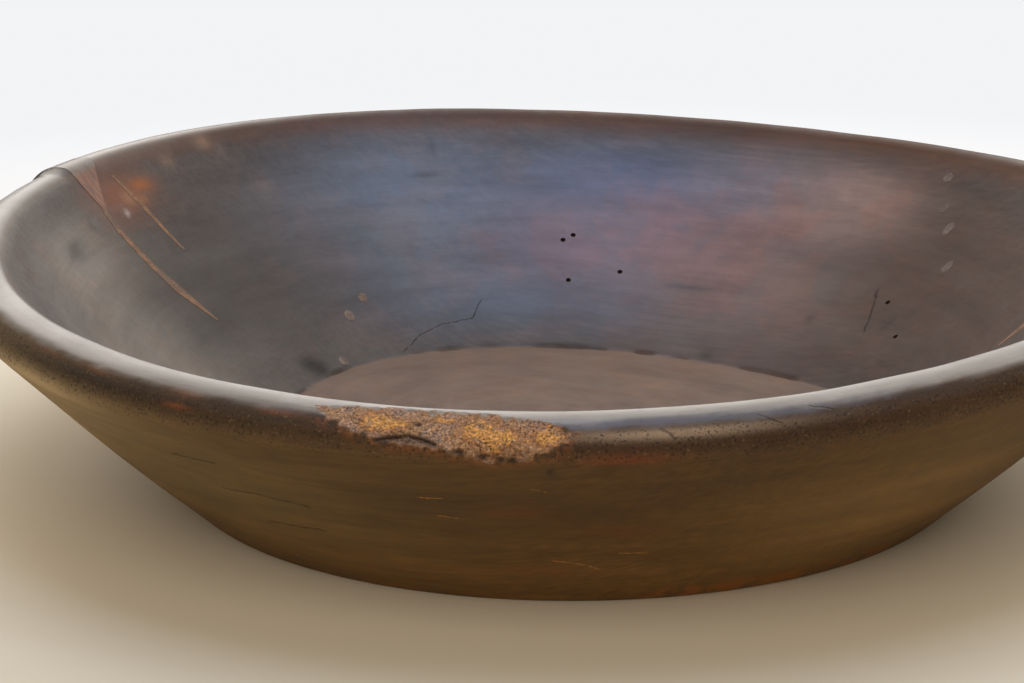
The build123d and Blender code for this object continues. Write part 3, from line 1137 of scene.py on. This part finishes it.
# %% A group for a scored line
tree = bpy.data.node_groups.new("scored_line", "ShaderNodeTree")
for socket, kind in {"Place": "Vector", "From": "Vector", "To": "Vector", "Width": "Float"}.items():
    tree.interface.new_socket(socket, in_out="INPUT", socket_type="NodeSocket" + kind)
tree.interface.new_socket("Mask", in_out="OUTPUT", socket_type="NodeSocketFloat")
given = tree.nodes.new("NodeGroupInput").outputs
result = tree.nodes.new("NodeGroupOutput").inputs
offset = add("VectorMath", {0: given["Place"], 1: given["From"]}, operation="SUBTRACT")
run = add("VectorMath", {0: given["To"], 1: given["From"]}, operation="SUBTRACT")
along = add("VectorMath", {0: offset, 1: run}, "Value", operation="DOT_PRODUCT")
length = add("VectorMath", {0: run, 1: run}, "Value", operation="DOT_PRODUCT")
share = add("Math", {0: along, 1: length}, operation="DIVIDE", use_clamp=True)
nearest = add("VectorMath", {0: run, "Scale": share}, operation="SCALE")
away = add("VectorMath", {0: offset, 1: nearest}, "Value", operation="DISTANCE")
ratio = add("Math", {0: away, 1: given["Width"]}, operation="DIVIDE")
tree.links.new(add("MapRange", {0: ratio, 1: 1.0, 2: 0.3}, **SMOOTH), result["Mask"])
line_group = tree


def score(place, lines):
    """One mask for scored lines, each a half width in mm and corners by angle and fall."""
    mask = 0.0
    for half_width, corners in lines:
        ends = [(float(peel_across(radians(angle))), way, 0) for angle, way in corners]
        for start, end in zip(ends, ends[1:]):
            sockets = {"Place": place, "From": start, "To": end, "Width": half_width}
            line = add("Group", sockets, node_tree=line_group)
            mask = add("Math", {0: mask, 1: line}, operation="MAXIMUM")
    return mask


print("steps in the group:", len(line_group.nodes))

# %% [markdown]
# The bowl's wood. It is an old hardwood such as beech, oiled and waxed by use rather than
# varnished, so it is dark, warm and softly shiny, with fine streaks along the grain, scraper
# marks round the wall and a dull, pitted band below the lip. Streaks come from noise that is
# stretched along X, because the block's grain runs that way right through the bowl, and
# scraper marks from noise that is stretched along the peel. Colour, shine and relief all
# start from the same few patterns, as they do in real wood.

# %% Patterns in the bowl's wood
STREAK_WIDTH = 2.5  # mm
STREAK_LENGTH = 80  # mm
SMUDGE_LENGTH = 70  # mm
SMUDGE_WIDTH = 18  # mm
SCRAPE_WIDTH = 1.4  # mm
SCRAPE_LENGTH = 70  # mm
MOTTLE_SIZE = 9  # mm
PIT_SIZE = 1.1  # mm, drawn a little coarser than real pores so that they show
CRUMB_SIZE = 1.0  # mm, grains of bare wood
BLOTCH_SIZE = 30  # mm, places that took up more grease or less
NICK_SIZE = 2.6  # mm

bowl_wood, tree, shader = new_material("waxed_old_hardwood")
in_mm = add("VectorMath", {0: add("TexCoord", {}, "Object"), "Scale": 1000}, operation="SCALE")
peel = add("UVMap", {}, uv_map="peel")
fall_mm = add("SeparateXYZ", {0: peel}, "Y")
across_mm = add("SeparateXYZ", {0: peel}, "X")
height_mm = add("SeparateXYZ", {0: in_mm}, "Z")
patterns = []
for place, size, settings in (
    (in_mm, (STREAK_LENGTH, STREAK_WIDTH, STREAK_WIDTH), {"Detail": 4, "Roughness": 0.6}),
    (peel, (SCRAPE_LENGTH, SCRAPE_WIDTH, 1), {"Detail": 3}),
    (peel, (SMUDGE_LENGTH, SMUDGE_WIDTH, 1), {"Detail": 5, "Roughness": 0.65}),
    (in_mm, [MOTTLE_SIZE] * 3, {"Detail": 4, "Roughness": 0.6}),
    (in_mm, [PIT_SIZE] * 3, {"Detail": 1}),
    (in_mm, [BLOTCH_SIZE] * 3, {"Detail": 4, "Roughness": 0.55, "Distortion": 0.5}),
    (in_mm, [NICK_SIZE] * 3, {"Detail": 2}),
    (in_mm, [CRUMB_SIZE] * 3, {"Detail": 3, "Roughness": 0.65}),
):
    stretched = add("VectorMath", {0: place, 1: [1 / s for s in size]}, **TIMES)
    patterns.append(add("TexNoise", {"Vector": stretched, "Scale": 1, **settings}))
streaks, scrapes, smudges, mottle, pits, blotches, nicks, crumbs = patterns
raw_share = add("Attribute", {}, "Fac", attribute_name="raw")
polish_share = add("Attribute", {}, "Fac", attribute_name="polish")
stain_and_light_colour = add("Attribute", {}, "Color", attribute_name="stains_and_light")
stain_and_light_share = add("Attribute", {}, "Alpha", attribute_name="stains_and_light")
print("patterns:", len(patterns))

# %% [markdown]
# Cracks and scratches. Dry wood checks along its grain, and scratches show the pale wood
# under the skin. Each line is half its width in mm and corners by angle and fall. The
# places on the peel are shaken a little by noise first, so that no line is dead straight.

# %% Lines in the bowl's wood
CRACKS = [
    (0.4, [(129.3, -119), (131.9, -130), (137.4, -132), (143.1, -138), (146.5, -145)]),
    (0.9, [(-106.5, 60), (-101, 58)]),
    (1.0, [(-103.6, 85), (-98.2, 83), (-93.1, 86)]),
    (0.9, [(-101.7, 112), (-93.7, 109)]),
    (0.8, [(62.8, -91), (58.3, -113)]),
    (0.6, [(-58.2, 12.5), (-57, 17)]),
    (0.6, [(-49.6, 10), (-47.6, 15)]),
    (0.6, [(-44.8, 8.5), (-43, 12)]),
]
SCRATCHES = [
    (0.8, [(-79.8, 62), (-77.8, 62)]),
    (0.8, [(-78.8, 79), (-76.8, 80)]),
    (0.5, [(-69.4, 50), (-67.2, 53)]),
    (1.0, [(-67.6, 120), (-65.4, 122), (-62.4, 128)]),
    (0.9, [(-60.4, 113), (-57.6, 113)]),
]
SHAKE_SIZE, SHAKE_REACH = 6, 3  # mm

unsteady = add("TexNoise", {"Vector": in_mm, "Scale": 1 / SHAKE_SIZE, "Detail": 3}, "Color")
shake = add("VectorMath", {0: unsteady, 1: (0.5, 0.5, 0.5)}, operation="SUBTRACT")
shake = add("VectorMath", {0: shake, "Scale": SHAKE_REACH}, operation="SCALE")
shaken = add("VectorMath", {0: peel, 1: shake}, operation="ADD")
cracks = score(shaken, CRACKS)
scratches = score(shaken, SCRATCHES)
print("lines drawn:", len(CRACKS + SCRATCHES))

# %% [markdown]
# Colour. It is built up in layers, as on the real bowl: bare wood outside and inside, the
# dark band round the lip, and the painted stains, with painted light and shade among them.
# Blotches then make the inside cooler or warmer, most of all where it is polished, and the
# patterns make everything lighter or darker by a little.

# %% Colour of the bowl's wood
streak_share = add("MapRange", {0: streaks, 1: 0.3, 2: 0.7}, **SMOOTH)
upper, lower, inside = [
    add("Mix", {0: streak_share, 6: shade(dark), 7: shade(light)}, 2, **COLOUR)
    for dark, light in (("#493115", "#53391A"), ("#60421D", "#6D4C24"), ("#443B35", "#50463F"))
]
lower_share, inside_share, above_lip, below_lip = [
    add("MapRange", {0: fall_mm, 1: start, 2: end}, **SMOOTH)
    for start, end in ((65, 135), (-2, -12), (-9, -3), (30, 19))
]
lip_share = add("Math", {0: above_lip, 1: below_lip}, **TIMES)
wood = upper
for share, layer in (
    (lower_share, lower),
    (inside_share, inside),
    (lip_share, shade("#35220F")),
    (stain_and_light_share, stain_and_light_colour),
):
    wood = add("Mix", {0: share, 6: wood, 7: layer}, 2, **COLOUR)
warmer, cooler = [
    add("Mix", {0: 1.0, 6: wood, 7: tint}, 2, blend_type="MULTIPLY", **COLOUR)
    for tint in ((1.12, 0.99, 0.96, 1), (0.9, 0.98, 1.04, 1))
]
greasy = add("MapRange", {0: blotches, 1: 0.43, 2: 0.53, 4: 0.9}, **SMOOTH)
blotched = add("Mix", {0: greasy, 6: warmer, 7: cooler}, 2, **COLOUR)
blotchy = add("MapRange", {0: polish_share, 1: 0, 2: 0.4, 3: 0.35, 4: 0.9})
blotchy = add("Math", {0: blotchy, 1: inside_share}, **TIMES)
wood = add("Mix", {0: blotchy, 6: wood, 7: blotched}, 2, **COLOUR)
tone = 1.0
for pattern, least, most in (
    (streaks, 0.96, 1.04),
    (smudges, 0.78, 1.22),
    (scrapes, 0.96, 1.04),
    (mottle, 0.9, 1.1),
):
    level = add("MapRange", {0: pattern, 1: 0.3, 2: 0.7, 3: least, 4: most})
    tone = add("Math", {0: tone, 1: level}, **TIMES)
tone = add("Mix", {0: raw_share, 2: tone, 3: 1.0})
wood = add("Mix", {0: 1.0, 6: wood, 7: tone}, 2, blend_type="MULTIPLY", **COLOUR)
print("colour steps so far:", len(tree.nodes))

# %% [markdown]
# Specks, scuffs and lines. The band below the lip is pitted, with dirt in the pores and pale
# grit between them. Bare wood is darker in the gaps between its grains, partly dirt and partly
# painted shade, and has painted glints on the grains that stand up. The foot is scuffed where
# the bowl is pushed about, and cracks and scratches come last. Each of these is a share of one
# more colour, so rows say which pattern, where and how much.

# %% Specks, scuffs and lines
sound = add("Math", {0: 1.0, 1: raw_share}, operation="SUBTRACT")
band = sound
for start, end in ((9, 15), (33, 23)):
    side = add("MapRange", {0: fall_mm, 1: start, 2: end}, **SMOOTH)
    band = add("Math", {0: band, 1: side}, **TIMES)
grainy = add("MapRange", {0: mottle, 1: 0.35, 2: 0.6, 3: 0.3})
grainy = add("Math", {0: grainy, 1: raw_share}, **TIMES)
for pattern, start, end, most, where, code in (
    (pits, 0.42, 0.32, 0.7, band, "#170E07"),
    (pits, 0.64, 0.76, 0.4, band, "#705C44"),
    # dark gaps between the grains of bare wood: partly dirt, partly painted shade in their low places
    (crumbs, 0.48, 0.36, 0.9, grainy, "#2A1C14"),
):
    specks = add("MapRange", {0: pattern, 1: start, 2: end, 4: most}, **SMOOTH)
    specks = add("Math", {0: specks, 1: where}, **TIMES)
    wood = add("Mix", {0: specks, 6: wood, 7: shade(code)}, 2, **COLOUR)
# painted glints: the grains of bare wood that stand up are made brighter, a painted highlight
painted_glints = add("MapRange", {0: crumbs, 1: 0.52, 2: 0.64, 4: 0.9}, **SMOOTH)
painted_glints = add("Math", {0: painted_glints, 1: raw_share}, **TIMES)
glint_colour = add("Mix", {0: 1.0, 6: wood, 7: (1.9, 1.8, 1.7, 1)}, 2, blend_type="MULTIPLY", **COLOUR)
wood = add("Mix", {0: painted_glints, 6: wood, 7: glint_colour}, 2, **COLOUR)
scuffed = 1.0
for value, start, end, most in (
    (height_mm, 12, 5, 1),
    (fall_mm, 20, 40, 1),
    (across_mm, 1040, 1080, 1),
    (across_mm, 1230, 1180, 1),
    (mottle, 0.42, 0.56, 0.8),
):
    share = add("MapRange", {0: value, 1: start, 2: end, 4: most}, **SMOOTH)
    scuffed = add("Math", {0: scuffed, 1: share}, **TIMES)
wood = add("Mix", {0: scuffed, 6: wood, 7: shade("#8A5520")}, 2, **COLOUR)
for lines, pattern, start, end, least, most, code in (
    (cracks, mottle, 0.35, 0.6, 0.15, 0.65, "#1D150E"),
    (scratches, pits, 0.4, 0.6, 0.1, 0.75, "#A8702F"),
):
    share = add("MapRange", {0: pattern, 1: start, 2: end, 3: least, 4: most})
    share = add("Math", {0: lines, 1: share}, **TIMES)
    wood = add("Mix", {0: share, 6: wood, 7: shade(code)}, 2, **COLOUR)
print("colour steps in all:", len(tree.nodes))

# %% [markdown]
# Shine and relief. Old wood is porous, so it reflects less than its index says. Where it was
# rubbed it is smoother and has a coat of wax, which smudges and nicks break up. The finest
# relief, of streaks, scraper marks, pits and grains, is too small for points of the skin, so
# a Bump node adds it up from the patterns.

# %% Shine and relief of the bowl's wood
shine = add("MapRange", {0: polish_share, 1: 0, 2: 0.5, 3: 0.75, 4: 0.38})
uneven_shine = add("MapRange", {0: mottle, 1: 0.3, 2: 0.7, 3: 0.88, 4: 1.12})
shine = add("Math", {0: shine, 1: uneven_shine}, **TIMES)
shine = add("Mix", {0: band, 2: shine, 3: 0.7})
shine = add("Mix", {0: raw_share, 2: shine, 3: 0.85})
smudged = add("MapRange", {0: smudges, 1: 0.35, 2: 0.65, 3: 0.26, 4: 0.56})
nicked = add("MapRange", {0: nicks, 1: 0.36, 2: 0.28, 3: 1.0, 4: 0.15}, **SMOOTH)
wax = polish_share
for share in (sound, smudged, nicked):
    wax = add("Math", {0: wax, 1: share}, **TIMES)
pitted = add("Math", {0: band, 1: pits}, **TIMES)
crumbly = add("Math", {0: raw_share, 1: crumbs}, **TIMES)
relief = 0.0
for pattern, height in ((streaks, 0.02), (scrapes, 0.02), (pitted, 0.16), (crumbly, 0.5), (cracks, -0.5)):
    relief = add("Math", {0: pattern, 1: height, 2: relief}, operation="MULTIPLY_ADD")
bump = add("Bump", {"Height": relief, "Distance": 1 * MM, "Strength": 1.0})
feed(shader, {"Base Color": wood, "Roughness": shine, "IOR": 1.48, "Specular IOR Level": 0.35})
feed(shader, {"Coat Weight": wax, "Coat Roughness": 0.2, "Normal": bump})
print("bowl wood:", len(tree.nodes), "nodes")

# %% [markdown]
# Inside the beetle holes there is only old dust in the dark, so a dark matt brown with a
# little grit is enough.

# %% Beetle dust
DUST_SIZE = 0.5  # mm

dust, tree, shader = new_material("beetle_dust")
in_mm = add("VectorMath", {0: add("TexCoord", {}, "Object"), "Scale": 1000}, operation="SCALE")
grit = add("TexNoise", {"Vector": in_mm, "Scale": 1 / DUST_SIZE, "Detail": 2})
dusty = add("Mix", {0: grit, 6: shade("#2A2019"), 7: shade("#45372C")}, 2, **COLOUR)
feed(shader, {"Base Color": dusty, "Roughness": 0.9})
bowl.data.materials[0] = bowl_wood
bowl.data.materials[1] = dust
print("finishes on the bowl:", [material.name for material in bowl.data.materials])

# %% [markdown]
# The wedge is a softer, redder wood than the bowl, split off a stick, driven in and rubbed
# down with oil. Its fine streaks run down its length. Over the lip it has taken on the
# greyed skin of the rim, and below that the red shows, with dirt in the low places.

# %% Wedge wood
FIBRE_LENGTH = 10  # mm
FIBRE_WIDTH = FIBRE_LENGTH / 7
DIRT_SIZE = 5  # mm

wedge_wood, tree, shader = new_material("oiled_red_softwood")
in_mm = add("VectorMath", {0: add("TexCoord", {}, "Object"), "Scale": 1000}, operation="SCALE")
fall_mm = add("SeparateXYZ", {0: add("UVMap", {}, uv_map="peel")}, "Y")
fibre = (1 / FIBRE_LENGTH, 1 / FIBRE_WIDTH, 1 / FIBRE_LENGTH)
along_wedge = add("VectorMath", {0: in_mm, 1: fibre}, **TIMES)
streaks = add("TexNoise", {"Vector": along_wedge, "Scale": 1, "Detail": 4})
dirt = add("TexNoise", {"Vector": in_mm, "Scale": 1 / DIRT_SIZE, "Detail": 4})
streak_share = add("MapRange", {0: streaks, 1: 0.35, 2: 0.7}, **SMOOTH)
wood = add("Mix", {0: streak_share, 6: shade("#663C26"), 7: shade("#805337")}, 2, **COLOUR)
for value, start, end, most, code in (
    (fall_mm, -11, -5, 0.9, "#5E5449"),
    (fall_mm, 6, 13, 0.95, "#35210F"),
    (dirt, 0.5, 0.7, 0.7, "#4E392C"),
):
    share = add("MapRange", {0: value, 1: start, 2: end, 4: most}, **SMOOTH)
    wood = add("Mix", {0: share, 6: wood, 7: shade(code)}, 2, **COLOUR)
from_crest = add("Math", {0: fall_mm, 1: 3}, operation="SUBTRACT")
from_crest = add("Math", {0: from_crest}, operation="ABSOLUTE")
wax = add("MapRange", {0: from_crest, 1: 12, 2: 4, 4: 0.6}, **SMOOTH)
bump = add("Bump", {"Height": streaks, "Distance": 0.15 * MM})
feed(shader, {"Base Color": wood, "Roughness": 0.6, "Normal": bump})
feed(shader, {"Coat Weight": wax, "Coat Roughness": 0.2})
wedge.data.materials.clear()
wedge.data.materials.append(wedge_wood)
print("wedge:", wedge_wood.name)

# %% [markdown]
# The putty is chalk and linseed oil, coloured tan and pressed in with a knife. It has gone
# hard and dull, with dirt rubbed into its low places until it nearly matches the wood. The
# splits have the warmest mix. The dabs are greyer, and darkest on the right wall, where more
# grease has soaked in.

# %% Putty
PUTTIES = {
    "linseed_putty": ("#6B4C34", "#855F3F", [left_split, left_short_split, right_split]),
    "rubbed_putty": ("#69564A", "#7D6A5D", [hole_plugs]),
    "greasy_putty": ("#594A41", "#6E5E53", [dent_fillers]),
}
LUMP_SIZE, GRIT_SIZE, WORN_SIZE = 5, 1.2, 16  # mm

for name, (dark, light, pieces) in PUTTIES.items():
    putty, tree, shader = new_material(name)
    in_mm = add("VectorMath", {0: add("TexCoord", {}, "Object"), "Scale": 1000}, operation="SCALE")
    lumps, grit, worn = [
        add("TexNoise", {"Vector": in_mm, "Scale": 1 / size, "Detail": detail})
        for size, detail in ((LUMP_SIZE, 4), (GRIT_SIZE, 2), (WORN_SIZE, 3))
    ]
    lump_share = add("MapRange", {0: lumps, 1: 0.35, 2: 0.65}, **SMOOTH)
    filled = add("Mix", {0: lump_share, 6: shade(dark), 7: shade(light)}, 2, **COLOUR)
    for pattern, start, end, most, code in (
        (grit, 0.5, 0.36, 0.5, "#453224"),
        (worn, 0.45, 0.68, 0.6, "#50443B"),
    ):
        share = add("MapRange", {0: pattern, 1: start, 2: end, 4: most}, **SMOOTH)
        filled = add("Mix", {0: share, 6: filled, 7: shade(code)}, 2, **COLOUR)
    bump = add("Bump", {"Height": lumps, "Distance": 0.4 * MM})
    feed(shader, {"Base Color": filled, "Roughness": 0.75, "Normal": bump})
    for piece in pieces:
        piece.data.materials.clear()
        piece.data.materials.append(putty)
print("putties:", list(PUTTIES))

# %% [markdown]
# The stage. The bowl stands on a plain pale floor that runs out to white behind it, so that
# the rim has something light to mirror. Only the eye and reflections see that white: the
# floor keeps its own colour for the light that it gives back, and keeps the shadow.

# %% Floor
FLOOR_SIZE = 12  # m
WHITE_FROM, WHITE_FULL = 0.38, 0.78  # m from the middle of the bowl

bpy.ops.object.select_all(action="DESELECT")
bpy.ops.mesh.primitive_plane_add(size=FLOOR_SIZE)
floor = bpy.context.object
floor.name = "floor"
floor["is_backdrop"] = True
floor_finish, tree, shader = new_material("plain_floor")
way_out = add("VectorMath", {0: add("TexCoord", {}, "Object")}, "Value", operation="LENGTH")
far_off = add("MapRange", {0: way_out, 1: WHITE_FROM, 2: WHITE_FULL}, **SMOOTH)
near_and_far = add("Mix", {0: far_off, 6: shade("#DCCFB6"), 7: shade("#F0F0F0")}, 2, **COLOUR)
feed(shader, {"Base Color": near_and_far, "Roughness": 0.8})
ray = add("LightPath", {}).node.outputs
seen = add("Math", {0: ray["Is Camera Ray"], 1: ray["Is Glossy Ray"]}, operation="MAXIMUM")
seen = add("Math", {0: seen, 1: ray["Is Transmission Ray"]}, operation="MAXIMUM")
seen = add("Math", {0: seen, 1: far_off}, **TIMES)
white = add("Emission", {"Color": shade("#F2F3F5"), "Strength": 1.0})
surface = add("MixShader", {0: seen, 1: shader.outputs[0], 2: white})
feed(tree.nodes["Material Output"], {"Surface": surface})
floor.data.materials.append(floor_finish)
print("floor:", floor.name)

# %% [markdown]
# The light. Polished wood shows what stands around it, so each panel is placed by what it
# does on the bowl. A white one stands behind and gives the pale band on the lip, a cool one
# overhead gives the blue sheen on the inner wall, and a warm one over the viewer's shoulder
# lights the hollow and the floor in front. The world fills the rest.

# %% Lights
def panel(name, place, aim, width, depth, power, code):
    """A soft panel of light at a place, aimed at another."""
    lamp = bpy.data.lights.new(name, "AREA")
    lamp.shape = "RECTANGLE"
    lamp.size, lamp.size_y = width, depth
    lamp.energy = power
    lamp.color = linear(code)
    light = bpy.data.objects.new(name, lamp)
    bpy.context.scene.collection.objects.link(light)
    light.location = place
    light.rotation_euler = (Vector(aim) - Vector(place)).to_track_quat("-Z", "Y").to_euler()
    light.visible_camera = False
    return light


CAMERA_TURN = radians(24.29)  # the grain runs a little away from the viewer on the right
view_turn = Matrix.Rotation(CAMERA_TURN, 3, "Z")
# Places as the viewer stands and sizes, in metres, and power in watts
panel("wall_panel", view_turn @ Vector((0.2, 1.15, 0.95)), (0, 0, 0.15), 2.5, 1.6, 28, "#FFF9F2")
panel("sky_panel", view_turn @ Vector((0.05, 0.05, 1.8)), (0, 0, 0.05), 1.4, 1.2, 16, "#CEE0FF")
fill = panel("front_panel", view_turn @ Vector((-0.3, -1.8, 1.1)), (0, 0, 0.05), 2.6, 1.9, 33, "#FFF6EA")
fill.visible_glossy = False
world = bpy.data.worlds.new("room")
bpy.context.scene.world = world
world.use_nodes = True
feed(world.node_tree.nodes["Background"], {"Color": shade("#FFFAF2"), "Strength": 0.2})
bpy.context.scene.view_settings.view_transform = "Standard"

# %% [markdown]
# The camera. Its place, turn and lens were worked out from the rim, the base and the floor
# of the bowl as the eye sees them: nearly two metres away and well above the rim, through
# a long lens. Forward, right and top are put together by hand, so that the small roll and
# yaw are plain numbers.

# %% Camera
CAMERA_BACK = 1811.1 * MM
CAMERA_UP = 584.9 * MM
CAMERA_PITCH, CAMERA_YAW, CAMERA_ROLL = 0.2813, -0.0145, -0.0048  # radians
CAMERA_LENS, SENSOR_WIDTH = 149.56, 36  # mm
SIGHT_END = 50  # m

level_ahead = Vector((sin(CAMERA_YAW), cos(CAMERA_YAW), 0))
forward = cos(CAMERA_PITCH) * level_ahead - sin(CAMERA_PITCH) * Vector((0, 0, 1))
level = Vector((cos(CAMERA_YAW), -sin(CAMERA_YAW), 0))
upright = level.cross(forward)
right = cos(CAMERA_ROLL) * level + sin(CAMERA_ROLL) * upright
top = cos(CAMERA_ROLL) * upright - sin(CAMERA_ROLL) * level
camera = bpy.data.objects.new("camera", bpy.data.cameras.new("camera"))
bpy.context.scene.collection.objects.link(camera)
pose = Matrix((right, top, -forward)).transposed().to_4x4()
pose.translation = (0, -CAMERA_BACK, CAMERA_UP)
camera.matrix_world = Matrix.Rotation(CAMERA_TURN, 4, "Z") @ pose
camera.data.lens = CAMERA_LENS
camera.data.sensor_width = SENSOR_WIDTH
camera.data.clip_end = SIGHT_END
bpy.context.scene.camera = camera
print("camera at", [round(c, 2) for c in camera.matrix_world.translation], "m")

# %% [markdown]
# Handing over. Nothing on this bowl moves, so every piece rides on the one body, and each
# takes the place of the solid that it was modelled over. The two boxes, of the solids and
# of the finished pieces, are kept side by side to show how little the size has changed.

# %% Finish
nodes = {
    "bowl": (bowl, "patinated_wood"),
    "left_rim_wedge": (wedge, "wedge_wood"),
    "left_split_filler": (left_split, "putty"),
    "left_short_split_filler": (left_short_split, "putty"),
    "right_split_filler": (right_split, "putty"),
    "left_wall_hole_plugs": (hole_plugs, "putty"),
    "right_wall_dent_fillers": (dent_fillers, "putty"),
}
for node, (piece, slot) in nodes.items():
    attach(piece, "root")
    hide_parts(node)
low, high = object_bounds()
past = [[round(c / MM, 2) for c in way] for way in (high - cad_high, cad_low - low)]
print("past the solids' box in mm, at its high and its low corner:", past)
